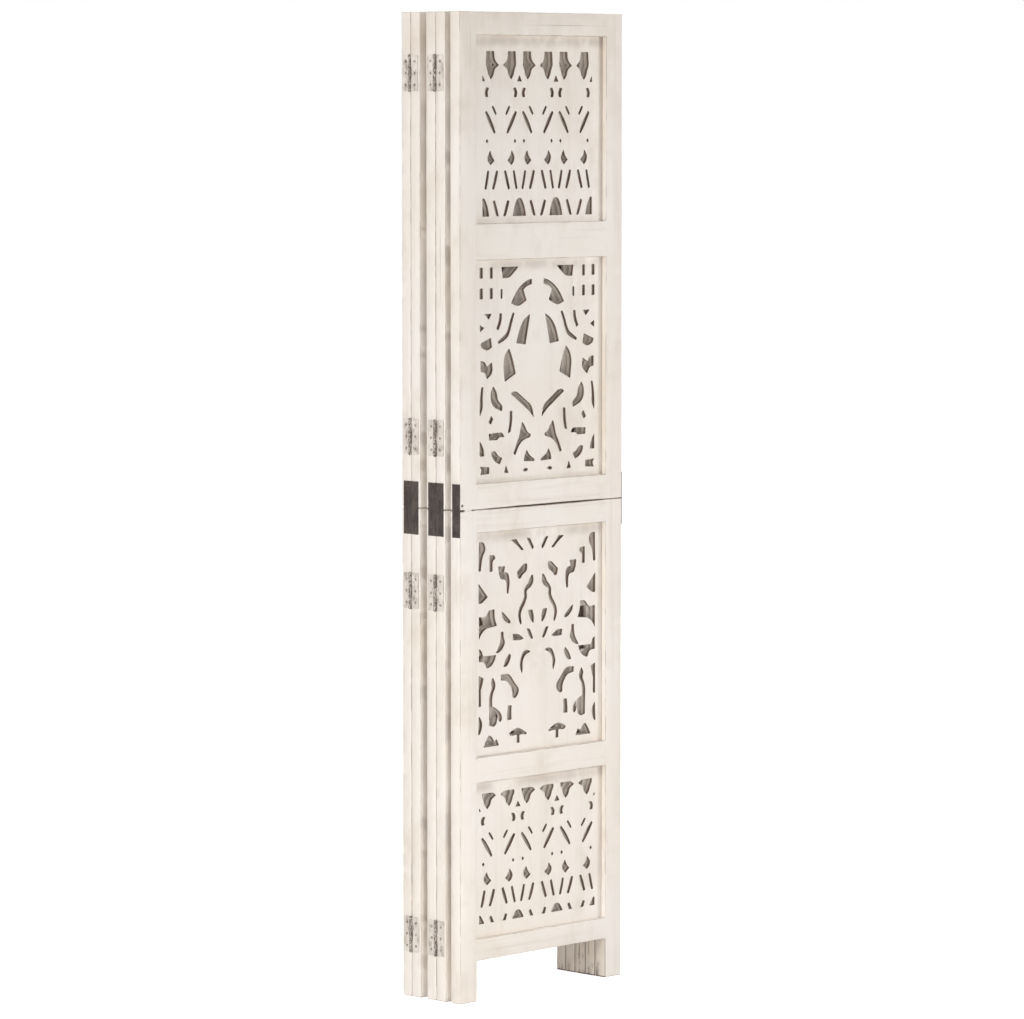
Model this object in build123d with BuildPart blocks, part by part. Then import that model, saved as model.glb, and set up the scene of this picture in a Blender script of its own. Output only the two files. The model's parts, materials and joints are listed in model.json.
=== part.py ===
"""Folding screen of five openwork carved panels, hinged edge to edge and stored folded.

Millimetres, +Z up. Every panel is made in its own frame: X across the panel from its centre line,
Y from its front face (0) to its back face, Z up from the floor. The folded stack stands with its
front panel square to X, and the origin is on the floor in the middle of the stack's box.
"""

import os
from math import cos, radians

from build123d import *

# Panel
PANEL_COUNT = 5
PANEL_WIDTH = 400.0
PANEL_HEIGHT = 1650.0
PANEL_THICKNESS = 22.0
STILE_WIDTH = 40.0
SEAM_HEIGHT = 825.5
INNER_WIDTH = PANEL_WIDTH - 2 * STILE_WIDTH
EDGE = PANEL_WIDTH / 2

# Rails of the two half-frames, each as (bottom, top) above the floor
UPPER_RAILS = [(SEAM_HEIGHT, 868.0), (1240.0, 1300.0), (1612.0, PANEL_HEIGHT)]
LOWER_RAILS = [(68.0, 104.0), (368.0, 410.0), (787.0, SEAM_HEIGHT)]

# Openings that hold the carvings, each as (bottom, top)
BOTTOM_OPENING = (104.0, 368.0)
LOWER_OPENING = (410.0, 787.0)
UPPER_OPENING = (868.0, 1240.0)
TOP_OPENING = (1300.0, 1612.0)

# Joinery
TENON_LENGTH = 28.0
TENON_THICKNESS = 8.0
TENON_SHOULDER = 9.0
TENON_DEPTH = 6.0
REBATE_LAP = 8.0
CARVING_DEPTH = 9.5
CARVING_THICKNESS = 12.0

# Steel plates that join the half-frames across the seam, set close to the front face
PLATE_THICKNESS = 2.0
PLATE_WIDTH = 17.0
PLATE_HEIGHT = 89.0
PLATE_MARGIN = 0.5

# Butt hinges, screwed to the narrow edges
HINGE_CENTRES = (105.5, 686.0, 944.5, 1549.0)
HINGE_HEIGHT = 60.0
LEAF_THICKNESS = 1.2
LEAF_REACH = 18.5
LEAF_NOTCH = 3.4
LEAF_ROOT = 0.6
KNUCKLE_RADIUS = 3.0
KNUCKLE_GAP = 0.4
PIN_RADIUS = 1.4
PIN_OVERHANG = 1.0
PIN_OFFSET = EDGE + KNUCKLE_RADIUS
# Knuckles and pins are drawn with six sides, one flat towards the panel's edge
ROUND_SIDES = 6
FLAT_TO_EDGE = 180 / ROUND_SIDES
# The middle knuckle turns freely: the flats of its hole clear the corners of the pin
RUNNING_CLEARANCE = 0.05
RUNNING_BORE = (PIN_RADIUS + RUNNING_CLEARANCE) / cos(radians(FLAT_TO_EDGE))

# Folded stack: the hinged faces lie this far apart, and two of the pairs stand a little open
FOLDED_GAP = 1.0
FRONT_SPLAY = 1.5
REAR_SPLAY = 2.0

# Hinge lines: the panel that carries the pins and outer knuckles, then the panel on the middle ones
HINGE_LINES = {"12": (2, 1), "23": (3, 2), "34": (3, 4), "45": (4, 5)}

# ---------------------------------------------------------------------------------------------
# Openwork. An outline is a list of (distance from the axis, height); each is cut on both sides of
# the panel's centre line. Heights of the two large carvings are above the floor.
# ---------------------------------------------------------------------------------------------

UPPER_OUTLINES = [
    # corner blocks, spandrel and the arch over the flower
    [(133, 1210), (143, 1210), (143, 1228), (133, 1228)],
    [(110, 1210), (119, 1210), (119, 1228), (110, 1228)],
    [(89, 1228), (47, 1228), (70, 1210), (86, 1210)],
    [(14, 1207), (41, 1197), (65, 1167), (48, 1161), (28, 1172), (14, 1199)],
    # petals
    [(18, 1148), (32, 1098), (54, 1100), (45, 1124)],
    [(71, 1092), (56, 1048), (80, 1036), (85, 1068)],
    [(67, 1018), (52, 1020), (14, 995), (9, 975)],
    # side sprays
    [(140, 1102), (115, 1112), (113, 1096), (124, 1090)],
    [(140, 1073), (112, 1071), (124, 1044), (140, 1056)],
    [(108, 1028), (100, 1013), (86, 993), (112, 1000)],
    [(135, 1029), (143, 980), (133, 995)],
    # stem leaves
    [(38, 969), (16, 945), (58, 914), (44, 943)],
]

LOWER_OUTLINES = [
    # outer slot, spur and fan
    [(144, 772), (131, 772), (126, 759), (143, 724)],
    [(145, 702), (123, 679), (144, 670)],
    [(144, 647), (128, 644), (118, 657), (106, 657), (102, 628), (144, 618)],
    # opening under the round pot
    [(144, 591), (104, 580), (124, 560), (144, 572)],
    [(85, 617), (92, 617), (101, 582), (80, 600)],
    # leaves beside the vase
    [(68, 772), (55, 772), (34, 754), (39, 752)],
    [(53, 712), (44, 705), (27, 723), (36, 727)],
    # shoulder, hook, seed head, mound and foot of the vase
    [(19, 579), (36, 582), (46, 558), (38, 545), (33, 575)],
    [(92, 546), (71, 546), (45, 519), (56, 505), (91, 538)],
    [(119, 494), (91, 480), (103, 463), (119, 465)],
    [(133, 427), (119, 446), (93, 427)],
    [(72, 444), (50, 453), (27, 443), (49, 440), (50, 428), (53, 440)],
]

# One repeat of the flower border: heights are above the row of drops, at the size of the top border
BORDER_PITCH = 90.0
BORDER_OUTLINES = [
    [(36, 177), (16, 177), (6, 154), (26, 131)],
    [(39, 77), (33, 76), (14, 42), (18, 41)],
]
# The arch between two repeats, its distance taken from the line where they meet
BORDER_ARCH = [(-16, -97), (-5, -70), (5, -70), (16, -97)]
BORDER_REPEATS = (-1, 0, 1)
BORDER_MEETINGS = (-1.5, -0.5, 0.5, 1.5)

# Each border's drop row, its scale across and up, and the edges of its pierced field
TOP_BORDER = {"drops": 1410.0, "across": 1.0, "up": 1.0, "half_width": 135.0, "field": (1313.0, 1587.0)}
BOTTOM_BORDER = {"drops": 205.0, "across": 1.08, "up": 0.935, "half_width": 144.0, "field": (130.0, 350.0)}


def both_sides(outlines):
    """The outlines and their mirror images in the panel's centre line."""
    mirrored = [[(-x, z) for x, z in outline] for outline in outlines]
    return outlines + mirrored


def border_outlines(border):
    """Every outline of a flower border: three repeats and the arches where they meet."""
    placed = []
    for repeat in BORDER_REPEATS:
        for outline in both_sides(BORDER_OUTLINES):
            placed.append([(x + repeat * BORDER_PITCH, z) for x, z in outline])
    for meeting in BORDER_MEETINGS:
        placed.append([(x + meeting * BORDER_PITCH, z) for x, z in BORDER_ARCH])
    return [[(x * border["across"], border["drops"] + z * border["up"]) for x, z in outline] for outline in placed]


def carving(opening, outlines, field_half_width, field):
    """A carved board that fills an opening and its rebate, pierced inside its field."""
    bottom, top = opening
    with BuildSketch(Plane.XZ.offset(-CARVING_DEPTH)) as pierced:
        for outline in outlines:
            Polygon(*outline, align=None)
        with Locations((0, sum(field) / 2)):
            Rectangle(2 * field_half_width, field[1] - field[0], mode=Mode.INTERSECT)
    with BuildPart() as board:
        with BuildSketch(Plane.XZ.offset(-CARVING_DEPTH)):
            with Locations((0, (bottom + top) / 2)):
                Rectangle(INNER_WIDTH + 2 * REBATE_LAP, top - bottom + 2 * REBATE_LAP)
            add(pierced.sketch, mode=Mode.SUBTRACT)
        extrude(amount=-CARVING_THICKNESS)
    return board


def cut_rebates(openings):
    """Cut the rebates that hold the carvings from the back of the part that is being built."""
    depth = PANEL_THICKNESS - CARVING_DEPTH
    for bottom, top in openings:
        with Locations((0, CARVING_DEPTH + depth / 2, (bottom + top) / 2)):
            Box(INNER_WIDTH + 2 * REBATE_LAP, depth, top - bottom + 2 * REBATE_LAP, mode=Mode.SUBTRACT)


def tenons(rails, mode):
    """The bar whose ends are a rail's two tenons, added to the rails or cut from the stiles."""
    for bottom, top in rails:
        with Locations((0, TENON_DEPTH + TENON_THICKNESS / 2, (bottom + top) / 2)):
            Box(INNER_WIDTH + 2 * TENON_LENGTH, TENON_THICKNESS, top - bottom - 2 * TENON_SHOULDER, mode=mode)


def stiles(bottom, top, rails, openings):
    """The left and right upright of one half-frame."""
    across = (PANEL_WIDTH - STILE_WIDTH) / 2
    with BuildPart() as pair:
        with BuildSketch(Plane.XY.offset(bottom)):
            with Locations((-across, PANEL_THICKNESS / 2), (across, PANEL_THICKNESS / 2)):
                Rectangle(STILE_WIDTH, PANEL_THICKNESS)
        extrude(amount=top - bottom)
        tenons(rails, Mode.SUBTRACT)
        cut_rebates(openings)
    return pair


def rail_set(rails, openings):
    """The three rails of one half-frame, with their tenons."""
    with BuildPart() as bars:
        for bottom, top in rails:
            with Locations((0, PANEL_THICKNESS / 2, (bottom + top) / 2)):
                Box(INNER_WIDTH, PANEL_THICKNESS, top - bottom)
        tenons(rails, Mode.ADD)
        cut_rebates(openings)
    return bars


def joining_plates():
    """The plate on each narrow edge, across the seam."""
    across = EDGE + PLATE_THICKNESS / 2
    middle = PLATE_MARGIN + PLATE_WIDTH / 2
    with BuildPart() as plates:
        with Locations((-across, middle, SEAM_HEIGHT), (across, middle, SEAM_HEIGHT)):
            Box(PLATE_THICKNESS, PLATE_WIDTH, PLATE_HEIGHT)
    return plates


def turned(number):
    """Every second panel stands back to front in the folded stack."""
    return number % 2 == 0


def pin_line(name):
    """Plan position of a hinge line in the closed stack: odd lines on the right, even on the left."""
    front = int(name[0])
    side = 1 if front % 2 else -1
    return side * PIN_OFFSET, front * (PANEL_THICKNESS + FOLDED_GAP) - FOLDED_GAP / 2


def closed_place(number):
    """Where a panel stands when the stack is folded quite shut."""
    front_face = (number - 1) * (PANEL_THICKNESS + FOLDED_GAP)
    if turned(number):
        return Location((0, front_face + PANEL_THICKNESS, 0), (0, 0, 180))
    return Location((0, front_face, 0))


def turn_about(name, angle):
    """A turn of the plan about a hinge line."""
    x, y = pin_line(name)
    return Location((x, y, 0)) * Location((0, 0, 0), (0, 0, angle)) * Location((-x, -y, 0))


def fold(number):
    """The turns that open the stack behind the front panel, up to the given panel."""
    place = Location((0, 0, 0))
    if number > 1:
        place = place * turn_about("12", -FRONT_SPLAY)
    if number > 3:
        place = place * turn_about("34", -REAR_SPLAY)
    return place


def knuckles(outer):
    """Height ranges of a leaf's knuckles from the hinge's centre: the two outer ones or the middle one."""
    half = HINGE_HEIGHT / 2
    third = HINGE_HEIGHT / 6
    if outer:
        return [(-half, -third - KNUCKLE_GAP / 2), (third + KNUCKLE_GAP / 2, half)]
    return [(-third + KNUCKLE_GAP / 2, third - KNUCKLE_GAP / 2)]


def hinge_leaves(number):
    """A panel's hinge leaves. The pin stands off the edge, in line with the front or the back face."""
    with BuildPart() as leaves:
        for name, (carrier, mate) in HINGE_LINES.items():
            if number not in (carrier, mate):
                continue
            outer = number == carrier
            pin = closed_place(number).inverse() * Location((*pin_line(name), 0))
            pin_x, pin_y = pin.position.X, pin.position.Y
            side = 1 if pin_x > 0 else -1
            inward = 1 if pin_y < PANEL_THICKNESS / 2 else -1
            strip = LEAF_REACH - LEAF_NOTCH
            root = LEAF_NOTCH - LEAF_ROOT
            leaf_x = side * (EDGE + LEAF_THICKNESS / 2)
            bore = PIN_RADIUS if outer else RUNNING_BORE
            for centre in HINGE_CENTRES:
                with Locations((leaf_x, pin_y + inward * (LEAF_NOTCH + strip / 2), centre)):
                    Box(LEAF_THICKNESS, strip, HINGE_HEIGHT)
                for low, high in knuckles(outer):
                    with BuildSketch(Plane.XY.offset(centre + low)):
                        with Locations((pin_x, pin_y)):
                            RegularPolygon(KNUCKLE_RADIUS, ROUND_SIDES, rotation=FLAT_TO_EDGE)
                        with Locations((leaf_x, pin_y + inward * (LEAF_ROOT + root / 2))):
                            Rectangle(LEAF_THICKNESS, root)
                        with Locations((pin_x, pin_y)):
                            RegularPolygon(bore, ROUND_SIDES, rotation=FLAT_TO_EDGE, mode=Mode.SUBTRACT)
                    extrude(amount=high - low)
    return leaves


def hinge_pins(name):
    """The four pins of one hinge line, at its place in the closed stack."""
    length = HINGE_HEIGHT + 2 * PIN_OVERHANG
    with BuildPart() as pins:
        for centre in HINGE_CENTRES:
            with BuildSketch(Plane.XY.offset(centre - length / 2)):
                with Locations(pin_line(name)):
                    RegularPolygon(PIN_RADIUS, ROUND_SIDES, rotation=FLAT_TO_EDGE)
            extrude(amount=length)
    return pins


def field_between(opening, margin):
    """The pierced height of a large carving, inside its border."""
    return opening[0] + margin, opening[1] - margin


def panel_pieces():
    """The pieces that all five panels share, by name."""
    field_margin = 10.0
    upper_openings = [UPPER_OPENING, TOP_OPENING]
    lower_openings = [BOTTOM_OPENING, LOWER_OPENING]
    upper_field = field_between(UPPER_OPENING, field_margin)
    lower_field = field_between(LOWER_OPENING, field_margin)
    half_width = INNER_WIDTH / 2 - field_margin
    return {
        "upper_stiles": stiles(SEAM_HEIGHT, PANEL_HEIGHT, UPPER_RAILS, upper_openings),
        "lower_stiles": stiles(0.0, SEAM_HEIGHT, LOWER_RAILS, lower_openings),
        "upper_rails": rail_set(UPPER_RAILS, upper_openings),
        "lower_rails": rail_set(LOWER_RAILS, lower_openings),
        "top_carving": carving(
            TOP_OPENING, border_outlines(TOP_BORDER), TOP_BORDER["half_width"], TOP_BORDER["field"]
        ),
        "upper_carving": carving(UPPER_OPENING, both_sides(UPPER_OUTLINES), half_width, upper_field),
        "lower_carving": carving(LOWER_OPENING, both_sides(LOWER_OUTLINES), half_width, lower_field),
        "bottom_carving": carving(
            BOTTOM_OPENING, border_outlines(BOTTOM_BORDER), BOTTOM_BORDER["half_width"], BOTTOM_BORDER["field"]
        ),
        "joining_plates": joining_plates(),
    }


def placed_nodes():
    """Every node's name and solids, in the stack's own place before it is centred."""
    nodes = {}
    shared = panel_pieces()
    for number in range(1, PANEL_COUNT + 1):
        place = fold(number) * closed_place(number)
        pieces = dict(shared, hinge_leaves=hinge_leaves(number))
        for piece_name, piece in pieces.items():
            nodes[f"panel_{number}_{piece_name}"] = place * piece.part
    for name, (carrier, _) in HINGE_LINES.items():
        nodes[f"hinge_{name}_pins"] = fold(carrier) * hinge_pins(name).part
    return nodes


nodes = placed_nodes()
box = nodes["panel_1_upper_stiles"].bounding_box()
for solids in nodes.values():
    box = box.add(solids.bounding_box())
to_origin = Location((-(box.min.X + box.max.X) / 2, -(box.min.Y + box.max.Y) / 2, 0))

os.makedirs("parts", exist_ok=True)
for name, solids in nodes.items():
    node = to_origin * solids
    node.label = name
    export_step(node, f"parts/{name}.step")

for name, (carrier, _) in HINGE_LINES.items():
    axis = to_origin * fold(carrier) * Location((*pin_line(name), 0))
    print("hinge line", name, "at", round(axis.position.X, 4), round(axis.position.Y, 4))
print("front panel's front face at", round(to_origin.position.X, 4), round(to_origin.position.Y, 4))
print("stack box", box.size)
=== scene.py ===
"""Dresses the folding screen: whitewashed timber, openwork carvings, painted hinges and steel plates.

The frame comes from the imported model. Pieces are modelled in millimetres in a panel's own place:
X across the panel from its centre line, Y from the front face to the back face, Z up from the
floor. Each finished mesh is then set where its panel stands in the folded stack, in metres.
"""

import json
from math import cos, pi, radians, sin, tan

import bmesh
import bpy
from bpy.props import FloatProperty, FloatVectorProperty, PointerProperty
from mathutils import Matrix, Vector, noise

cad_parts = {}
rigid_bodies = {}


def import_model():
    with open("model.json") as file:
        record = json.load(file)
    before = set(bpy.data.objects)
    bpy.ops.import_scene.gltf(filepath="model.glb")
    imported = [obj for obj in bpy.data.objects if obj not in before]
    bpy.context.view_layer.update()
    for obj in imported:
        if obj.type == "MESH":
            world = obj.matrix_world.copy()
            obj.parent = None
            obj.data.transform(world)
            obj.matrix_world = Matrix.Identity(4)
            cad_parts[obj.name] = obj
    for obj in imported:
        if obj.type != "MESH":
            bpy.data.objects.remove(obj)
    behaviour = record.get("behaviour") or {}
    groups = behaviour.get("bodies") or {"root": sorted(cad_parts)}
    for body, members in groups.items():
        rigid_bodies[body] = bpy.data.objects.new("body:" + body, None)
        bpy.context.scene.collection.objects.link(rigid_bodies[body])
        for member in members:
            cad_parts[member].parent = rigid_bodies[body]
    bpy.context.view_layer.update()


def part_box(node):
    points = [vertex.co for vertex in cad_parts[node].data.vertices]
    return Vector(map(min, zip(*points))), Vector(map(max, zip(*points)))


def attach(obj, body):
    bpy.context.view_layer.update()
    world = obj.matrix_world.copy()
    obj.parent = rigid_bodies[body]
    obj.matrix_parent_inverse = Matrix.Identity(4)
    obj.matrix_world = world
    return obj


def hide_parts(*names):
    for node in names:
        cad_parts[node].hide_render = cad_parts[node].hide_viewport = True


bl_info = {
    "name": "Folding carved screen",
    "version": (1, 0, 0),
    "blender": (4, 5, 0),
    "location": "View3D > Sidebar > Screen",
    "description": "Models and finishes the timber, carvings, hinges and plates of a folding screen",
    "category": "Object",
}

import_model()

MM = 0.001

# Panels, in millimetres
PANELS = range(1, 6)
HALF_WIDTH = 200.0
PANEL_HEIGHT = 1650.0
PANEL_THICKNESS = 22.0
INNER_HALF = 160.0
SEAM_HEIGHT = 825.5
REBATE_LAP = 8.0
REBATE_HALF = INNER_HALF + REBATE_LAP
CARVING_DEPTH = 9.5
CARVING_THICKNESS = 12.0
UPPER_RAILS = [(SEAM_HEIGHT, 868.0), (1240.0, 1300.0), (1612.0, PANEL_HEIGHT)]
LOWER_RAILS = [(68.0, 104.0), (368.0, 410.0), (787.0, SEAM_HEIGHT)]
BOTTOM_OPENING = (104.0, 368.0)
LOWER_OPENING = (410.0, 787.0)
UPPER_OPENING = (868.0, 1240.0)
TOP_OPENING = (1300.0, 1612.0)
OPENINGS = [BOTTOM_OPENING, LOWER_OPENING, UPPER_OPENING, TOP_OPENING]
LEG_TOP = LOWER_RAILS[0][0]

# Cuts across a member keep this far from the ends of its rebates
CUT_ROOM = 3.0
# Knocks: waves per millimetre along a member, the level added to them, how many nick depths they
# and the wear of the feet go in, the deepest that they may go, and how much barer a knock is
KNOCK_WAVES = 0.045
KNOCK_LEVEL = 0.12
KNOCK_SHARE = 1.6
FOOT_SHARE = 1.2
DEEPEST_KNOCK = 0.8
KNOCK_BARE = 0.4
# How much further the inner sides of the legs are marked bare, which makes their paint darker and more tinted
LEG_INSIDE_TINT = 1.35

# The seam opens at the left corners and along the middle of the rails
CORNER_WEAR = 0.9
CORNER_REACH = 1.5
SEAM_BOW = 0.85
SEAM_WIDEST = 25.0
SEAM_REACH = 2.0
# Paint that fills the seam for a short way on the left stile: between these places across the
# panel, this far above and below the seam, and this far behind the front
PAINT_BRIDGE = (-188.0, -172.0)
BRIDGE_RISE = 1.6
BRIDGE_DEPTHS = (0.3, 5.0)

# Steel plates, and the nail beside them
SHEET_THICKNESS = 1.0
PLATE_WIDTH = 17.5
PLATE_HEIGHT = 89.0
PLATE_SCREWS = (-33.0, -13.0, 13.0, 33.0)
NAIL_PLACE = (-194.6, 834.2)
NAIL_RADIUS = 2.3
NAIL_LENGTH = 1.0
NAIL_DEPTH = 0.15
PIT_DEPTH = 0.5
PIT_ROOM = 0.1

# Hinges
HINGE_CENTRES = (105.5, 686.0, 944.5, 1549.0)
HINGE_HEIGHT = 60.0
LEAF_THICKNESS = 1.2
LEAF_REACH = 18.5
LEAF_NOTCH = 3.4
LEAF_ROOT = 0.6
PIN_STAND_OFF = 3.0
PIN_OVERHANG = 1.0
KNUCKLE_GAP = 0.4
BARREL_ROUND = 0.28
PIN_OFFSET = HALF_WIDTH + PIN_STAND_OFF

# A screw's head: steps of its dome as (inset in radii, rise), the depth of its skirt and the share
# that it narrows to, and the cross recess, half its width in radii and its depth
SCREW_STEPS = ((0.12, 0.08), (0.3, 0.1))
SKIRT_DEPTH = 0.9
SKIRT_SHARE = 0.72
RECESS_HALF = 0.14
RECESS_DEPTH = 0.5
# Gap round a screw's head, and its depth in the metal: hinge leaves, then joining plates
LEAF_SCREW_FIT = (0.12, 0.2)
PLATE_SCREW_FIT = (0.1, 0.15)

# How bare things are: walls of the openings at the front and the back, screw heads at the rim and
# behind it, and knuckles. A value below zero marks the flat back of a board or plate
# On the hinge leaves the bare edge walls also paint the shade along their outlines
WALL_BARE_AND_OUTLINE_SHADE = (1.3, -0.1)
SCREW_BARE = (0.54, 0.78)
KNUCKLE_BARE = 0.63
BACK_MARK = -0.1

# Openings smaller than this, in square millimetres, are left out where the field crops them
SMALLEST_HOLE = 6.0
# Corners of an opening: degrees up to which one is a tip, and from which it is a curve, how much
# rounder the corners between are, and the share of a side that a rounding may take
TIP_ANGLE = 70
CURVE_ANGLE = 112
CORNER_EASE = 1.5
CORNER_SHARE = 0.38
# The rounding of a plate's edges: its steps as (share of the width inward, share of it in depth), and
# their depth in all. A face whose normal's Y is above FLAT is front or back, below WALL a cut wall
ROUNDING_STEPS = ((0.42, 0.5), (0.58, 0.2))
ROUNDING_DEPTH = 0.7
FLAT = 0.98
WALL = 0.3
# The openings of every second panel sit this far off the panel's centre line
PATTERN_SHIFT = 6.0

# Folded stack
FOLDED_GAP = 1.0
FRONT_SPLAY = 1.5
REAR_SPLAY = 2.0
HINGE_LINES = {"12": (2, 1), "23": (3, 2), "34": (3, 4), "45": (4, 5)}

# Faces that meet at more than this, in degrees, have a sharp edge: while modelling, when finished
EDGE_ANGLE = 50
SHARP_ANGLE = 38

# The whitewashes: the axis along which the paint is streaked, the strengths of streaks and cracks,
# how bare a place is where the paint starts and ends being rubbed off, and the axis of the grain
# of the wood beneath, or None where the wood is cut through
WASHES = {
    "whitewashed uprights": (2, 0.38, 0.4, 1.5, 1.66, 2),
    "whitewashed crosspieces": (0, 0.45, 0.4, 1.5, 1.66, 0),
    "whitewashed carving": (2, 0.2, 0.0, 1.05, 1.3, None),
}
# The painted shadow on a carving is strongest this far below the rail above it, in millimetres
PAINTED_SHADOW_DROP = 9.0

# Stage, in metres. Each lamp: place, aim and diameter; its power is one of the stage's properties
MIDDLE = (0, 0, 0.85)
LAMPS = {
    "side": ((-7.5, -0.6, 2.0), MIDDLE, 3.0),
    "front": ((2.4, -2.8, 1.6), MIDDLE, 1.4),
    "back": ((3.0, 5.0, 2.4), MIDDLE, 3.0),
    "top": ((0, 0.2, 4.2), MIDDLE, 1.5),
    "low": ((-0.6, -1.0, 0.17), (-0.1, 0, 0.25), 0.3),
    "near": ((-5.2, -4.9, 1.5), MIDDLE, 2.0),
}
CAMERA_PLACE = (-6.2081, -5.8064, 1.4913)
FLOOR_DROP = 0.0002
FLOOR_GREY = 0.8
FLOOR_GLOW = 0.81

# --- Openwork: each outline is a list of (distance from the axis, height), cut on both sides ---

UPPER_HOLES = [
    [(134.5, 1209), (142, 1209), (142, 1227), (134.5, 1227)],
    [(110.5, 1208.5), (117.5, 1208.5), (117.5, 1227), (110.5, 1227)],
    [(134.5, 1174.5), (142, 1174.5), (142, 1192.5), (134.5, 1192.5)],
    [(110.5, 1174.5), (117.5, 1174.5), (117.5, 1192.5), (110.5, 1192.5)],
    [(86.5, 1175), (91, 1173.5), (91, 1190.5), (86.5, 1190.5)],
    [(89, 1227), (47, 1227), (69, 1208.5), (86, 1208.5)],
    [(14.5, 1206), (25, 1204), (41, 1196), (55, 1183), (65.5, 1166), (48, 1159.5), (27.5, 1170), (35, 1188),
     (28, 1193.5), (14.5, 1197)],
    [(18.5, 1147), (24, 1121), (30, 1096), (53, 1099), (45.5, 1123), (33.5, 1139)],
    [(70, 1091), (60, 1070), (54, 1048), (81, 1035), (85, 1067), (80, 1082)],
    [(66, 1014), (61, 1018), (52, 1018), (17, 995), (12, 986), (9.5, 972), (14, 977), (22, 985), (58, 1009)],
    [(109, 1029), (100, 1018), (99, 1006), (86, 995), (88, 986), (108, 994), (115, 1003), (116, 1018)],
    [(133, 1029), (138, 1028), (142, 1007), (142, 979), (134, 993), (135, 1009)],
    [(140, 1072), (129, 1070), (125, 1062), (112, 1069), (110, 1051), (124, 1041), (130, 1053), (140, 1054)],
    [(140, 1101), (126, 1106), (115, 1110), (112, 1094), (124, 1088), (138, 1094)],
    [(38, 967), (30, 957), (26, 949), (17, 945), (18, 940), (36, 936), (47, 926), (55, 911), (60, 914), (52, 931),
     (45, 943), (42, 957)],
    [(69, 986), (62.5, 986), (62.5, 968), (67, 950), (73.5, 949), (69.5, 967)],
    [(114, 980), (109, 974), (115, 965), (121, 969)],
    [(120, 950), (87, 951), (82, 943), (95, 943), (99, 938.5), (119, 939)],
    [(142, 939), (133, 927), (131, 913), (142, 913)],
    [(114, 919), (105, 921), (96, 911), (87, 908), (93, 898), (103, 901), (112, 910)],
    [(27, 919), (20, 909), (8, 903), (8, 899), (34, 900), (33, 909)],
    [(142, 896), (119, 894), (119, 883), (141, 882), (137, 889)],
    [(78, 896), (83, 883), (72, 882)],
    [(37, 885), (30, 889.5), (23, 886), (30, 881.5)],
    [(130, 1150), (113, 1150), (120, 1140)],
    [(141.5, 1132), (130.5, 1126.5), (141, 1120)],
]

LOWER_HOLES = [
    [(66, 769), (52, 770), (48, 764), (34, 751), (39, 749.5), (53, 761)],
    [(27, 770), (19, 770), (9, 754), (12, 749.5), (16, 753.5)],
    [(144, 770), (132.5, 770), (126.5, 757), (136, 744), (139.5, 721), (145, 721)],
    [(118, 747), (106, 746), (104, 740), (111, 736), (111, 719), (118, 718.5), (118.5, 736)],
    [(97, 726), (80, 726), (83, 716), (72, 714), (68.5, 699), (72, 679), (76, 680), (77, 699), (81, 704), (91, 704),
     (96, 716)],
    [(35, 727), (26, 727), (25.5, 715), (37, 709), (42, 702), (48, 703), (51, 714), (43, 720)],
    [(145, 701), (122.5, 677), (137, 667), (145, 667)],
    [(144, 645), (129, 642), (119, 655), (106, 655), (106, 640), (100, 627), (128, 624), (138, 616), (144, 606)],
    [(84, 616), (91, 616), (91, 604), (94, 594), (103, 581), (96, 581), (87, 586), (79.5, 597), (84, 606)],
    [(144, 591), (138, 588), (134, 578), (102, 578), (106, 568), (115, 559), (125, 557), (131, 569), (144, 569)],
    [(89, 650), (83, 647), (67, 633), (67, 628.5), (76, 630), (87, 640)],
    [(24, 648), (13, 648), (9, 637), (10, 625), (16, 629), (21, 638)],
    [(62, 610), (50, 610), (42, 606), (34, 601), (42, 598.5), (60, 599.5)],
    [(27.5, 617), (19.5, 616.5), (11, 600), (14.5, 598), (19.5, 602)],
    [(17, 577), (25, 581), (36, 579), (42.5, 566), (45, 556), (39, 541), (37, 548), (37.5, 561), (31, 573)],
    [(70, 578), (65.5, 575), (68, 566), (76, 556), (84.5, 556.5), (79, 569)],
    [(145, 546), (133, 541), (137, 527), (139.5, 522), (139, 494), (145, 493.5)],
    [(144.5, 479), (136, 468), (137, 456), (142, 447), (146, 446)],
    [(110, 541), (104, 531), (104, 523), (110, 514), (112, 504), (112, 492), (104, 489), (91, 480), (87, 470),
     (91, 464), (96, 466), (98, 475), (101, 462), (108, 457), (119, 460), (120, 505), (117, 515), (112, 523),
     (116, 532)],
    [(91, 544), (69, 544), (58, 529), (45, 516), (49, 506), (56, 501), (62, 503), (62.5, 516), (74, 532), (90, 534)],
    [(73, 490), (64, 490), (65, 480), (64.5, 466), (75, 465.5), (75, 478)],
    [(133, 424.5), (127, 436), (120, 444), (113, 441), (107, 433), (101, 436), (95, 425)],
    [(71, 443), (63, 447), (50, 451), (41, 448), (27, 440.5), (28, 437.5), (41, 439), (45, 438), (44.5, 425),
     (52, 425), (52, 439), (67, 438)],
]

# Slits, as lists of (distance, height, width)
UPPER_LINES = [
    [(59, 1150, 4.6), (65, 1137, 6.1), (70, 1123, 6.6), (75, 1113, 7.6), (85, 1107, 7.1), (97, 1101, 4.6)],
    [(91, 1150, 6.1), (92, 1137, 7.1), (99, 1123, 6.1)],
]
LOWER_LINES = [
    [(13, 707, 3.6), (15, 698, 11.6), (20, 690, 9.6), (27, 686, 7.6), (31, 680, 7.1), (29.5, 671, 7.1),
     (34.5, 661, 7.6), (42.5, 651, 7.6), (45.5, 641, 7.1), (43, 631, 6.1), (41, 625, 2.6)],
]

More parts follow.
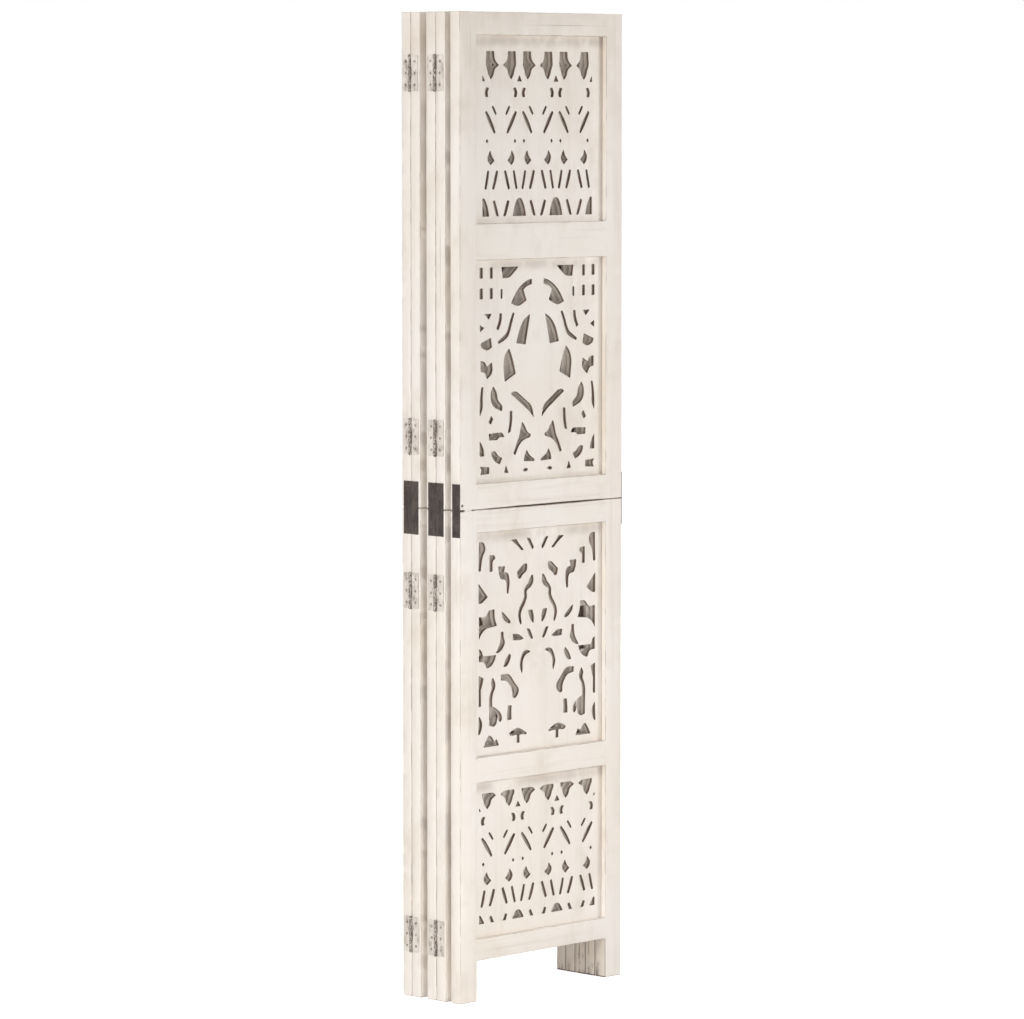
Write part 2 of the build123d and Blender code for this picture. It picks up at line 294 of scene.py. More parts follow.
# One repeat of the flower border, heights above its row of drops
BORDER_PITCH = 90.0
BORDER_HOLES = [
    [(35.5, 177), (16.5, 177), (16, 163), (5, 154), (16, 147), (18, 137), (25, 130), (31, 138), (33, 146),
     (37, 154)],
    [(29, 116), (36, 117), (40, 109), (38, 101), (31, 101), (33, 108)],
    [(31, 28), (34, 32), (37, 28), (34, 24)],
    [(26, 13), (33.5, 2), (31, -7), (25, -12), (15.5, -4), (22, 2)],
]
BORDER_LINES = [
    [(21, 86, 3.6), (17, 80, 5.1), (12, 72, 3.6)],
    [(37, 77, 4.6), (31, 68, 7.1), (25, 58, 7.6), (20, 50, 6.6), (15, 41, 4.1)],
    [(31, -21, 4.6), (34, -36, 6.1), (38, -52, 4.6)],
    [(9.5, -21, 5.1), (14, -36, 7.1), (19.5, -52, 5.1)],
    [(18, -71, 5.6), (13, -84, 7.1), (8, -98, 5.6)],
]
# Openings on the line where two repeats meet
MEETING_HOLES = [
    [(-6, 127), (6, 127), (0, 138)],
    [(-16.5, -98), (-12.5, -80), (-5, -67), (5, -67), (12.5, -80), (16.5, -98)],
]
BORDER_REPEATS = (-1, 0, 1)
BORDER_MEETINGS = (-1.5, -0.5, 0.5, 1.5)
# Height of the row of drops, scales across and up, and the pierced field's half width and heights
TOP_BORDER = {"drops": 1408.5, "across": 1.0, "up": 1.0, "field": (135.0, (1311.5, 1585.5))}
BOTTOM_BORDER = {"drops": 202.0, "across": 1.08, "up": 0.905, "field": (144.0, (127.0, 347.0))}

# --- Properties ---


def paint(red, green, blue):
    """A colour given as 0 to 255 on screen, in the renderer's own scale."""
    shares = [value / 255 for value in (red, green, blue)]
    return tuple(s / 12.92 if s <= 0.04045 else ((s + 0.055) / 1.055) ** 2.4 for s in shares)


def length(name, description, size, low, high):
    """The property of a size, given in millimetres."""
    return FloatProperty(name=name, description=description, default=size * MM, min=low * MM, max=high * MM,
                         unit="LENGTH")


def power(name, description, watts):
    """The property of a lamp's power, in watts."""
    return FloatProperty(name=name, description=description, default=watts, min=0.0, unit="POWER")


def shade(name, description, *colour):
    """The property of a colour, given as 0 to 255 on screen."""
    return FloatVectorProperty(name=name, description=description, subtype="COLOR", size=3, min=0, max=1,
                               default=paint(*colour))


class ScreenTimber(bpy.types.PropertyGroup):
    """Sizes of the stiles and rails."""

    edge_round: length("Edge rounding", "Rounding of the sawn edges", 0.75, 0.2, 3)
    joint_round: length("Joint rounding", "Rounding where a rail meets a stile", 0.3, 0.1, 1)
    nick_depth: length("Nick depth", "How far knocks go into an edge", 0.3, 0, 1)
    nick_spacing: length("Nick spacing", "Distance between the places that can be knocked", 11, 4, 60)
    foot_wear: length("Foot wear", "Height up to which the feet are rubbed round", 14, 0, 40)
    seam_gap: length("Seam gap", "Gap between the two half-frames", 1.3, 0, 3)


class ScreenCarving(bpy.types.PropertyGroup):
    """Sizes of the openwork."""

    hole_round: length("Hole rounding", "Rounding of the cut edges", 0.6, 0.2, 1.2)
    tip_radius: length("Tip radius", "Radius at the tip of a leaf", 0.7, 0.3, 2)
    board_clearance: length("Board clearance", "Gap round a board in its rebate", 0.35, 0, 1)
    seat_gap: length("Seat gap", "Gap between a board's front and the lip of the frame", 0.5, 0, 1)


class ScreenMetal(bpy.types.PropertyGroup):
    """Sizes of the hinges, plates and screws."""

    knuckle_radius: length("Knuckle radius", "Radius of a hinge's knuckles", 2.6, 2, 2.6)
    pin_radius: length("Pin radius", "Radius of a hinge pin", 1.4, 1, 1.4)
    leaf_corner: length("Leaf corner", "Corner radius of a hinge leaf", 2.2, 0.2, 5)
    edge_round: length("Metal edge rounding", "Rounding of the sheared edges", 0.3, 0.05, 0.5)
    screw_radius: length("Screw head radius", "Radius of a countersunk head", 2.6, 1.5, 3)
    screw_spacing: length("Hinge screw spacing", "Distance between a leaf's screws", 19.5, 8, 25)


class ScreenFinish(bpy.types.PropertyGroup):
    """Colours of the paint, wood and steel."""

    whitewash: shade("Whitewash", "Colour of the thick paint", 244, 235, 224)
    cool_wash: shade("Cool whitewash", "Colour of the whiter patches", 247, 239, 231)
    # The thin wash also serves as the painted shade that darkens the paint towards the top
    thin_wash_and_shade: shade("Thin whitewash", "Colour where wood tints the paint", 224, 210, 194)
    bare_wood: shade("Bare wood", "Colour of the rubbed and cut wood", 104, 87, 75)
    dark_wood: shade("Dark wood", "Colour of the wood's dark grain", 88, 72, 62)
    cut_wood: shade("Cut wood", "Colour of the wood inside the openings", 138, 120, 107)
    steel: shade("Dark steel", "Colour of the plates", 50, 40, 36)
    # Worn steel also paints the shade along the hinge leaves' outlines
    worn_steel_and_outline_shade: shade("Worn steel", "Colour of the plates' rubbed edges", 84, 71, 64)
    hinge_wash: shade("Hinge paint", "Colour of the dull paint on the hinges", 220, 211, 201)
    # The stain colour also paints the shadow below the rails on the carvings
    stain_and_shade: shade("Stain", "Colour of the brown stains", 158, 142, 128)


class ScreenStage(bpy.types.PropertyGroup):
    """Floor, light and camera."""

    floor_size: FloatProperty(name="Floor size", description="Side of the floor", default=80.0, min=5, unit="LENGTH")
    room_light: FloatProperty(name="Room light", description="Strength of the light from all round", default=0.26,
                              min=0.0, max=2.0)
    side_power: power("Side light", "Power of the large lamp on the left", 264.0)
    front_power: power("Front light", "Power of the lamp in front", 51.0)
    back_power: power("Back light", "Power of the large lamp behind", 110.0)
    top_power: power("Top light", "Power of the lamp overhead", 22.0)
    low_power: power("Low light", "Power of the small lamp near the floor", 2.4)
    near_power: power("Near light", "Power of the lamp beside the camera", 50.0)
    camera_turn: FloatProperty(name="Camera turn", description="Turn of the camera from the panels' front",
                               default=radians(46.909), subtype="ANGLE", unit="ROTATION")
    camera_tilt: FloatProperty(name="Camera tilt", description="How far the camera looks down",
                               default=radians(4.561), subtype="ANGLE", unit="ROTATION")
    lens: FloatProperty(name="Lens", description="Focal length in millimetres", default=176.95, min=20, max=400)


# --- Where things stand ---


def turned(number):
    """Every second panel stands back to front."""
    return number % 2 == 0


def pin_line(name):
    """Plan position of a hinge line in the closed stack."""
    front = int(name[0])
    side = 1 if front % 2 else -1
    return side * PIN_OFFSET, front * (PANEL_THICKNESS + FOLDED_GAP) - FOLDED_GAP / 2


def turn_about(name, angle):
    """A turn of the plan about a hinge line, in degrees."""
    centre = Matrix.Translation((*pin_line(name), 0))
    return centre @ Matrix.Rotation(radians(angle), 4, "Z") @ centre.inverted()


def closed_place(number):
    """Where a panel stands when the stack is folded quite shut."""
    front_face = (number - 1) * (PANEL_THICKNESS + FOLDED_GAP)
    if turned(number):
        return Matrix.Translation((0, front_face + PANEL_THICKNESS, 0)) @ Matrix.Rotation(pi, 4, "Z")
    return Matrix.Translation((0, front_face, 0))


def fold(number):
    """The turns that open the stack behind the front panel, from millimetres to the frame's metres."""
    low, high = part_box("panel_1_upper_rails")
    place = Matrix.Translation(((low.x + high.x) / 2, low.y, 0)) @ Matrix.Scale(MM, 4)
    if number > 1:
        place = place @ turn_about("12", -FRONT_SPLAY)
    if number > 3:
        place = place @ turn_about("34", -REAR_SPLAY)
    return place


def panel_place(number):
    """From a panel's own millimetres to the frame's metres."""
    return fold(number) @ closed_place(number)


# --- Making meshes ---


def only(geometry, kind):
    """The items of one kind in a list that an operator returned."""
    return [item for item in geometry if isinstance(item, kind)]


def everything(bm):
    """All the geometry of a mesh."""
    return bm.verts[:] + bm.edges[:] + bm.faces[:]


def parts_of(faces):
    """Faces with their edges and corners."""
    edges = [edge for face in faces for edge in face.edges]
    return list(dict.fromkeys(faces + edges + [vert for face in faces for vert in face.verts]))


def cut(bm, geometry, axis, at, side=1, **options):
    """Cut along the plane that crosses an axis at a place."""
    place, across = Vector((0, 0, 0)), Vector((0, 0, 0))
    place[axis], across[axis] = at, side
    bmesh.ops.bisect_plane(bm, geom=geometry, plane_co=place, plane_no=across, **options)


def round_off(bm, geometry, offset, segments, affect="EDGES"):
    """Round edges, or the corners of a flat outline."""
    return bmesh.ops.bevel(bm, geom=geometry, offset=offset, offset_type="OFFSET", segments=segments, profile=0.5,
                           affect=affect, clamp_overlap=affect == "EDGES", material=-1)


def pull_back(bm, faces, depth):
    """Extrude faces away from the viewer and return the new back faces."""
    grown = bmesh.ops.extrude_face_region(bm, geom=faces)["geom"]
    bmesh.ops.translate(bm, verts=only(grown, bmesh.types.BMVert), vec=(0, depth, 0))
    return only(grown, bmesh.types.BMFace)


def sink(bm, faces, depth):
    """Press faces away from the viewer and take out the ones they leave behind."""
    pull_back(bm, faces, depth)
    bmesh.ops.delete(bm, geom=[face for face in faces if face.is_valid], context="FACES")
    bmesh.ops.recalc_face_normals(bm, faces=bm.faces[:])


def bare_layer(bm):
    """The layer that says how bare each corner of a face is."""
    return bm.loops.layers.float.get("bare") or bm.loops.layers.float.new("bare")


def to_mesh(bm, name):
    """Store a finished mesh."""
    mesh = bpy.data.meshes.new(name)
    bm.to_mesh(mesh)
    bm.free()
    mesh.set_sharp_from_angle(angle=radians(SHARP_ANGLE))
    return mesh


def stamp(bm, template, place):
    """Add a template mesh to a mesh at a place."""
    copy = template.copy()
    copy.transform(place)
    if place.determinant() < 0:
        copy.flip_normals()
    bm.from_mesh(copy)
    bpy.data.meshes.remove(copy)


def show(name, mesh, body, material, node):
    """Add a piece that rides on a body and stands for a CAD node."""
    piece = bpy.data.objects.new(name, mesh)
    bpy.context.scene.collection.objects.link(piece)
    mesh.materials.clear()
    mesh.materials.append(finish_of(material))
    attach(piece, body)
    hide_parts(node)


def show_on_panel(number, kind, parts, material):
    """Add one panel's piece of a kind, from meshes and their places on the panel."""
    bm = bmesh.new()
    for mesh, place in parts:
        stamp(bm, mesh, panel_place(number) @ place)
    show(f"{kind}_{number}", to_mesh(bm, kind), f"panel_{number}", material, f"panel_{number}_{kind}")


# --- Timber ---


def in_rebate(x, z):
    """Whether a place on the frame's back is cut away for a carving."""
    return abs(x) <= REBATE_HALF and any(bottom - REBATE_LAP < z < top + REBATE_LAP for bottom, top in OPENINGS)


def board(left, right, bottom, top):
    """A frame member with its rebates, cut across at close steps so that its edges can be knocked."""
    bm = bmesh.new()
    middle = Vector(((left + right) / 2, 0, (bottom + top) / 2))
    flat = Matrix.Rotation(pi / 2, 4, "X") @ Matrix.Diagonal((right - left, top - bottom, 1, 1))
    bmesh.ops.create_grid(bm, x_segments=1, y_segments=1, size=0.5, matrix=Matrix.Translation(middle) @ flat)
    upright = top - bottom > right - left
    start, end = (bottom, top) if upright else (left, right)
    steps = int((end - start) / (bpy.context.scene.screen_timber.nick_spacing / MM))
    cuts = [start + (end - start) * step / steps for step in range(1, steps)]
    rows = [z for low, high in OPENINGS for z in (low - REBATE_LAP, high + REBATE_LAP) if bottom < z < top]
    columns = cuts
    if upright:
        rows += [z for opening in OPENINGS for z in opening if bottom < z < top]
        rows += [z for z in cuts if all(abs(z - row) > CUT_ROOM for row in rows)]
        columns = [x for x in (-REBATE_HALF, REBATE_HALF) if left < x < right]
    for axis, places in ((2, rows), (0, columns)):
        for at in places:
            cut(bm, everything(bm), axis, at)
    centres = [(face, face.calc_center_median()) for face in pull_back(bm, bm.faces[:], CARVING_DEPTH)]
    solid = [face for face, centre in centres if not in_rebate(centre.x, centre.z)]
    sink(bm, solid, PANEL_THICKNESS - CARVING_DEPTH)
    return bm


def at_joint(edge):
    """Whether an edge lies where a rail's end meets a stile."""
    centre = (edge.verts[0].co + edge.verts[1].co) / 2
    if abs(abs(centre.x) - INNER_HALF) > 0.5 or centre.z <= LEG_TOP:
        return False
    return not any(bottom - 0.1 < centre.z < top + 0.1 for bottom, top in OPENINGS)


def knock_edges(bm, seed):
    """Round the edges, press nicks into them, and note how bare each corner is."""
    timber = bpy.context.scene.screen_timber
    edges = [edge for edge in bm.edges if edge.is_manifold and edge.calc_face_angle(0.0) > radians(EDGE_ANGLE)]
    joints = [edge for edge in edges if at_joint(edge)]
    others = [edge for edge in edges if not at_joint(edge)]
    strips = round_off(bm, others, timber.edge_round / MM, 3)["faces"]
    joints = [edge for edge in joints if edge.is_valid]
    if joints:
        round_off(bm, joints, timber.joint_round / MM, 1)
    strips = {face for face in strips if face.is_valid}
    rubbed = {vert for strip in strips for vert in strip.verts if all(face in strips for face in vert.link_faces)}
    bm.normal_update()
    depth, foot = timber.nick_depth / MM, timber.foot_wear / MM
    knocks, moves = {}, {}
    for vert in rubbed:
        knock = max(0.0, noise.noise(vert.co * KNOCK_WAVES + Vector((seed, 0, seed * 0.7))) + KNOCK_LEVEL)
        low = max(0.0, 1 - vert.co.z / foot) if foot > 0 else 0.0
        knocks[vert] = 1 + KNOCK_BARE * knock
        moves[vert] = vert.normal * min(DEEPEST_KNOCK, depth * (KNOCK_SHARE * knock + FOOT_SHARE * low))
    ends = [[pick(vert.co[axis] for vert in bm.verts) for pick in (min, max)] for axis in range(3)]
    for vert, move in moves.items():
        vert.co = [min(max(at, low), high) for at, (low, high) in zip(vert.co - move, ends)]
    bare = bare_layer(bm)
    for face in bm.faces:
        centre = face.calc_center_median()
        cut_end = abs(face.normal.z) > 0.9 and abs(centre.z - SEAM_HEIGHT) < SEAM_REACH
        sole = face.normal.z < -0.9 and centre.z < 1
        leg_inside = centre.z < LEG_TOP and face.normal.x * centre.x < -10
        face.smooth = face in strips
        for loop in face.loops:
            worn = 1.0 if cut_end or sole else knocks.get(loop.vert, 0.0)
            loop[bare] = max(worn * LEG_INSIDE_TINT, 1.0) if leg_inside else worn


def half_frames():
    """The two half-frames: name, bottom, top and rails."""
    gap = bpy.context.scene.screen_timber.seam_gap / MM / 2
    return [("lower", 0.0, SEAM_HEIGHT - gap, LOWER_RAILS), ("upper", SEAM_HEIGHT + gap, PANEL_HEIGHT, UPPER_RAILS)]


def open_seam(bm, corner, bow):
    """Widen the seam at a half-frame's worn left corner, or bow it along a rail."""
    for vert in bm.verts:
        away = vert.co.z - SEAM_HEIGHT
        if abs(away) > SEAM_REACH:
            continue
        rise = corner if vert.co.x < CORNER_REACH - HALF_WIDTH else 0.0
        if bow:
            rise = bow * max(0.0, 1 - ((vert.co.x - SEAM_WIDEST) / INNER_HALF) ** 2)
        vert.co.z += rise if away > 0 else -rise


def face_at(bm, x, z):
    """The flat front face that holds a place."""
    for face in bm.faces:
        across, up = [vert.co.x for vert in face.verts], [vert.co.z for vert in face.verts]
        if face.normal.y < -0.999 and min(across) < x < max(across) and min(up) < z < max(up):
            return face
    raise ValueError(f"No front face at {x}, {z}")


def nail_pit(bm):
    """Press the pit of a nail into the front."""
    x, z = NAIL_PLACE
    reach = NAIL_RADIUS + PIT_ROOM
    for axis, at in ((0, x - reach), (0, x + reach), (2, z - reach), (2, z + reach)):
        bm.normal_update()
        cut(bm, parts_of([face_at(bm, x, z)]), axis, at)
    bm.normal_update()
    sink(bm, [face_at(bm, x, z)], PIT_DEPTH)


def paint_bridge(bm):
    """A plain block of paint across the seam."""
    low = Vector((PAINT_BRIDGE[0], BRIDGE_DEPTHS[0], SEAM_HEIGHT - BRIDGE_RISE))
    high = Vector((PAINT_BRIDGE[1], BRIDGE_DEPTHS[1], SEAM_HEIGHT + BRIDGE_RISE))
    place = Matrix.Translation((low + high) / 2) @ Matrix.Diagonal((*(high - low), 1))
    bmesh.ops.create_cube(bm, size=1.0, matrix=place)


# --- Openwork and plates ---


def corner_cut(before, corner, after, tip_radius):
    """How far from a corner its rounding starts."""
    arm_a, arm_b = before - corner, after - corner
    room = CORNER_SHARE * min(arm_a.length, arm_b.length)
    angle = arm_a.angle(arm_b)
    if angle > radians(CURVE_ANGLE):
        return room
    radius = tip_radius * (1.0 if angle < radians(TIP_ANGLE) else CORNER_EASE)
    return min(room, radius / tan(angle / 2))


def soften(bm, face, tip_radius):
    """Round the corners of a flat outline: wide corners into curves, narrow ones into small tips."""
    corners = face.verts[:]
    places = [vert.co.copy() for vert in corners]
    for index, vert in enumerate(corners):
        offset = corner_cut(places[index - 1], places[index], places[(index + 1) % len(places)], tip_radius)
        round_off(bm, [vert], offset, 2, "VERTICES")


def outline_face(bm, outline):
    """A flat face in the front plane."""
    return bm.faces.new([bm.verts.new((x, 0, z)) for x, z in outline])


def along_line(line):
    """The outline of a slit from its centre line and widths."""
    near, far = [], []
    for index, (x, z, width) in enumerate(line):
        before = Vector(line[max(index - 1, 0)][:2])
        after = Vector(line[min(index + 1, len(line) - 1)][:2])
        across = (after - before).orthogonal().normalized() * width / 2
        near.append((x + across.x, z + across.y))
        far.append((x - across.x, z - across.y))
    return near + far[::-1]


def both_sides(outlines, lines):
    """The outlines, those of the slits, and the mirror images of both in the centre line."""
    outlines = outlines + [along_line(line) for line in lines]
    return outlines + [[(-x, z) for x, z in outline] for outline in outlines]


def border_holes(border):
    """Every outline of a flower border."""
    placed = []
    for repeat in BORDER_REPEATS:
        for outline in both_sides(BORDER_HOLES, BORDER_LINES):
            placed.append([(x + repeat * BORDER_PITCH, z) for x, z in outline])
    for meeting in BORDER_MEETINGS:
        for outline in MEETING_HOLES:
            placed.append([(x + meeting * BORDER_PITCH, z) for x, z in outline])
    return [[(x * border["across"], border["drops"] + z * border["up"]) for x, z in outline] for outline in placed]


def crop(bm, half_width, field):
    """Cut off what stands outside the pierced field."""
    for axis, at, outward in ((0, half_width, 1), (0, -half_width, -1), (2, field[0], -1), (2, field[1], 1)):
        cut(bm, everything(bm), axis, at, outward, clear_outer=True)
    bmesh.ops.remove_doubles(bm, verts=bm.verts[:], dist=0.05)
    slivers = [face for face in bm.faces if face.calc_area() < SMALLEST_HOLE]
    bmesh.ops.delete(bm, geom=slivers, context="FACES")


def pierced_plate(outer, holes, thickness, rounding, tip_radius=None, outer_radius=None, field=None, shift=0.0):
    """A flat plate with openings and softened edges, its front in the plane Y = 0."""
    bm = bmesh.new()
    for outline in holes:
        outline_face(bm, outline)
    if field:
        crop(bm, *field)
    if tip_radius:
        for face in bm.faces[:]:
            soften(bm, face, tip_radius)
    bmesh.ops.translate(bm, verts=bm.verts[:], vec=(shift, 0, 0))
    rim = outline_face(bm, outer)
    if outer_radius:
        for vert in rim.verts[:]:
            if abs(vert.co.x - LEAF_REACH) < 0.01:
                round_off(bm, [vert], outer_radius, 4, "VERTICES")
    bmesh.ops.delete(bm, geom=bm.faces[:], context="FACES_ONLY")
    bmesh.ops.triangle_fill(bm, use_beauty=True, use_dissolve=False, edges=bm.edges[:], normal=(0, -1, 0))
    rim_depth = rounding * ROUNDING_DEPTH
    bmesh.ops.translate(bm, verts=bm.verts[:], vec=(0, rim_depth, 0))
    pull_back(bm, bm.faces[:], thickness - 2 * rim_depth)
    bmesh.ops.recalc_face_normals(bm, faces=bm.faces[:])
    for facing in (-1, 1):
        for share, rise in ROUNDING_STEPS:
            sheet = [face for face in bm.faces if face.normal.y * facing > FLAT]
            bmesh.ops.inset_region(bm, faces=sheet, thickness=rounding * share, depth=rounding * rise,
                                   use_boundary=True, use_even_offset=True)
            bm.normal_update()
    bare = bare_layer(bm)
    for face in bm.faces:
        wall = abs(face.normal.y) < WALL
        face.smooth = abs(face.normal.y) < FLAT
        for loop in face.loops:
            depth = min(loop.vert.co.y, thickness - loop.vert.co.y)
            rear = loop.vert.co.y > thickness / 2
            graded = min(1.0, depth / (2 * rim_depth)) if depth > 0.02 else BACK_MARK * rear
            loop[bare] = WALL_BARE_AND_OUTLINE_SHADE[rear] if wall else graded
    return bm


def carving(opening, shift, holes, field=None):
    """A carved board for an opening and its rebate, its openwork moved a little to one side."""
    sizes = bpy.context.scene.screen_carving
    lap = REBATE_LAP - sizes.board_clearance / MM
    side = INNER_HALF + lap
    bottom, top = opening[0] - lap, opening[1] + lap
    outer = [(-side, bottom), (side, bottom), (side, top), (-side, top)]
    seat = sizes.seat_gap / MM
    bm = pierced_plate(outer, holes, CARVING_THICKNESS - seat, sizes.hole_round / MM, sizes.tip_radius / MM,
                       field=field, shift=shift)
    bmesh.ops.translate(bm, verts=bm.verts[:], vec=(0, CARVING_DEPTH + seat, 0))
    return to_mesh(bm, "carving")


def carvings(shift):
    """The four carved boards of a panel."""
    return {
        "top": carving(TOP_OPENING, shift, border_holes(TOP_BORDER), TOP_BORDER["field"]),
        "upper": carving(UPPER_OPENING, shift, both_sides(UPPER_HOLES, UPPER_LINES)),
        "lower": carving(LOWER_OPENING, shift, both_sides(LOWER_HOLES, LOWER_LINES)),
        "bottom": carving(BOTTOM_OPENING, shift, border_holes(BOTTOM_BORDER), BOTTOM_BORDER["field"]),
    }


# --- Metal ---


def circle(x, z, radius, sides=20):
    """Points round a drilled hole."""
    return [(x + radius * cos(2 * pi * k / sides), z + radius * sin(2 * pi * k / sides)) for k in range(sides)]


def screw_head():
    """A countersunk head with a cross recess, facing the front, its rim in the plane Y = 0."""
    radius = bpy.context.scene.screen_metal.screw_radius / MM
    bm = bmesh.new()
    bmesh.ops.create_circle(bm, cap_ends=True, segments=16, radius=radius, matrix=Matrix.Rotation(pi / 2, 4, "X"))
    bmesh.ops.recalc_face_normals(bm, faces=bm.faces[:])
    face = bm.faces[0]
    if face.normal.y > 0:
        bmesh.ops.reverse_faces(bm, faces=[face])
    skirt = only(bmesh.ops.extrude_edge_only(bm, edges=bm.edges[:])["geom"], bmesh.types.BMVert)
    bmesh.ops.scale(bm, verts=skirt, vec=(SKIRT_SHARE, 1, SKIRT_SHARE))
    bmesh.ops.translate(bm, verts=skirt, vec=(0, SKIRT_DEPTH, 0))
    for share, rise in SCREW_STEPS:
        bmesh.ops.inset_individual(bm, faces=[face], thickness=radius * share, depth=rise)
    recess = radius * RECESS_HALF
    inner = [face]
    for axis, at in ((0, recess), (0, -recess), (2, recess), (2, -recess)):
        cut(bm, parts_of(inner), axis, at)
        inner = [face for face in bm.faces if face.normal.y < -0.999 and face.calc_center_median().y < -0.15]
    centres = [(face, face.calc_center_median()) for face in inner]
    cross = [face for face, centre in centres if min(abs(centre.x), abs(centre.z)) < recess]
    bmesh.ops.remove_doubles(bm, verts=bm.verts[:], dist=0.0001)
    bmesh.ops.holes_fill(bm, edges=[edge for edge in bm.edges if edge.is_boundary])
    sink(bm, [face for face in cross if face.is_valid], RECESS_DEPTH)
    bare = bare_layer(bm)
    for face in bm.faces:
        face.smooth = True
        for loop in face.loops:
            loop[bare] = SCREW_BARE[loop.vert.co.y >= 0.1]
    return to_mesh(bm, "screw_head")


def screwed_plate(outer, heads, thickness, fit, outer_radius=None):
    """A plate with a screw in each of its holes."""
    metal = bpy.context.scene.screen_metal
    gap, depth = fit
    holes = [circle(x, z, metal.screw_radius / MM + gap) for x, z in heads]
    bm = pierced_plate(outer, holes, thickness, metal.edge_round / MM, outer_radius=outer_radius)
    screw = screw_head()
    for x, z in heads:
        stamp(bm, screw, Matrix.Translation((x, depth, z)))
    return bm


def barrel(bm, radius, bottom, top, x, y, rubbed=1.0):
    """A round pin or knuckle with softened ends, the paint rubbed off it."""
    known = set(bm.faces)
    made = bmesh.ops.create_cone(bm, cap_ends=True, segments=20, radius1=radius, radius2=radius, depth=top - bottom,
                                 matrix=Matrix.Translation((x, y, (bottom + top) / 2)))
    ends = [face for vert in made["verts"] for face in vert.link_faces if abs(face.normal.z) > 0.9]
    rims = list(dict.fromkeys(edge for face in ends for edge in face.edges))
    round_off(bm, rims, BARREL_ROUND, 2)
    bare = bare_layer(bm)
    for face in bm.faces:
        if face in known:
            continue
        face.smooth = abs(face.normal.z) < 0.9
        for loop in face.loops:
            loop[bare] = rubbed


def knuckles(outer):
    """Height ranges of a leaf's knuckles from the hinge's centre."""
    half, third = HINGE_HEIGHT / 2, HINGE_HEIGHT / 6
    if outer:
        return [(-half, -third - KNUCKLE_GAP / 2), (third + KNUCKLE_GAP / 2, half)]
    return [(-third + KNUCKLE_GAP / 2, third - KNUCKLE_GAP / 2)]


def leaf_outline(outer):
    """The outline of a leaf, as (distance from the pin, height)."""
    half = HINGE_HEIGHT / 2
    split = abs(knuckles(outer)[0][1])
    end, middle = (LEAF_ROOT, LEAF_NOTCH) if outer else (LEAF_NOTCH, LEAF_ROOT)
    return [(LEAF_REACH, -half), (LEAF_REACH, half), (end, half), (end, split), (middle, split), (middle, -split),
            (end, -split), (end, -half)]


def hinge_leaf(outer):
    """One leaf with its knuckles and screws; X runs from the pin, the outer face is at Y = 0."""
    metal = bpy.context.scene.screen_metal
    spacing = metal.screw_spacing / MM
    heads = [((LEAF_REACH + LEAF_NOTCH) / 2, z) for z in (-spacing, 0, spacing)]
    bm = screwed_plate(leaf_outline(outer), heads, LEAF_THICKNESS, LEAF_SCREW_FIT, metal.leaf_corner / MM)
    for low, high in knuckles(outer):
        barrel(bm, metal.knuckle_radius / MM, low, high, 0, LEAF_THICKNESS - PIN_STAND_OFF, KNUCKLE_BARE)
    return to_mesh(bm, "hinge_leaf")


def joining_plate():
    """One steel plate with its screws, its outer face at Y = 0."""
    x, z = PLATE_WIDTH / 2, PLATE_HEIGHT / 2
    heads = [(0, height) for height in PLATE_SCREWS]
    outer = [(-x, -z), (x, -z), (x, z), (-x, z)]
    return to_mesh(screwed_plate(outer, heads, SHEET_THICKNESS, PLATE_SCREW_FIT), "joining_plate")


def on_edge(side, inward, y, z, thickness):
    """From a plate's own place to a panel's narrow edge: outer face outwards, X running inward."""
    turn = Matrix(((0, -side, 0, 0), (inward, 0, 0, 0), (0, 0, 1, 0), (0, 0, 0, 1)))
    return Matrix.Translation((side * (HALF_WIDTH + thickness), y, z)) @ turn


# --- Finishes ---


class Nodes:
    """A node tree and the node at its end, a surface or a background."""

    def __init__(self, owner, end):
        owner.use_nodes = True
        self.tree = owner.node_tree
        self.end = self.tree.nodes[end]

    def feed(self, node, inputs):
        """Give a node's inputs their values or sockets."""
        for key, value in inputs.items():
            if isinstance(value, bpy.types.NodeSocket):
                self.tree.links.new(value, node.inputs[key])
            else:
                node.inputs[key].default_value = value

    def add(self, kind, inputs=None, **settings):
        """Add a node, with its settings and the values or sockets of its inputs."""
        node = self.tree.nodes.new(kind)
        for key, value in settings.items():
            setattr(node, key, value)
        self.feed(node, inputs or {})
        return node

    def sum(self, first, second, operation="ADD"):
        """Arithmetic on two values."""
        return self.add("ShaderNodeMath", {0: first, 1: second}, operation=operation).outputs[0]


